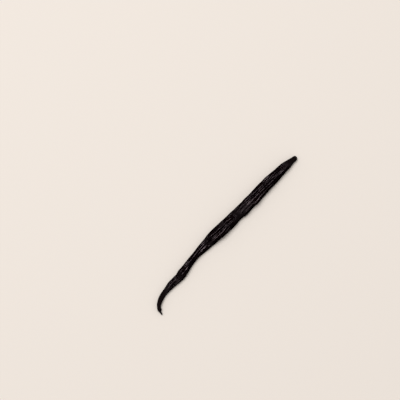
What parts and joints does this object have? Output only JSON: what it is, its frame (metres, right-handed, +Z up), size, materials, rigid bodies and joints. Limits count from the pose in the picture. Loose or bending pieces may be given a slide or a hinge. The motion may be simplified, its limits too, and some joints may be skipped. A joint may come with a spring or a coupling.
{
  "type": "vanilla pod",
  "caption": "Cured vanilla pod for flavouring food: long, slender and flattened, with lengthwise wrinkled dark skin, a blunt blossom end and a hooked, torn stem end.",
  "frame": {"origin": "centre of the bounding box in plan, on the surface the pod lies on", "axes": "+X from the torn stem end to the blossom end, +Y to the pod's left, +Z up from the surface it lies on"},
  "size_m": [0.164, 0.0164, 0.0069],
  "materials": {
    "pod_skin": "oily satin, near-black aubergine brown, finely wrinkled"
  },
  "bodies": {
    "root": {"pod": "pod_skin"}
  },
  "joints": []
}
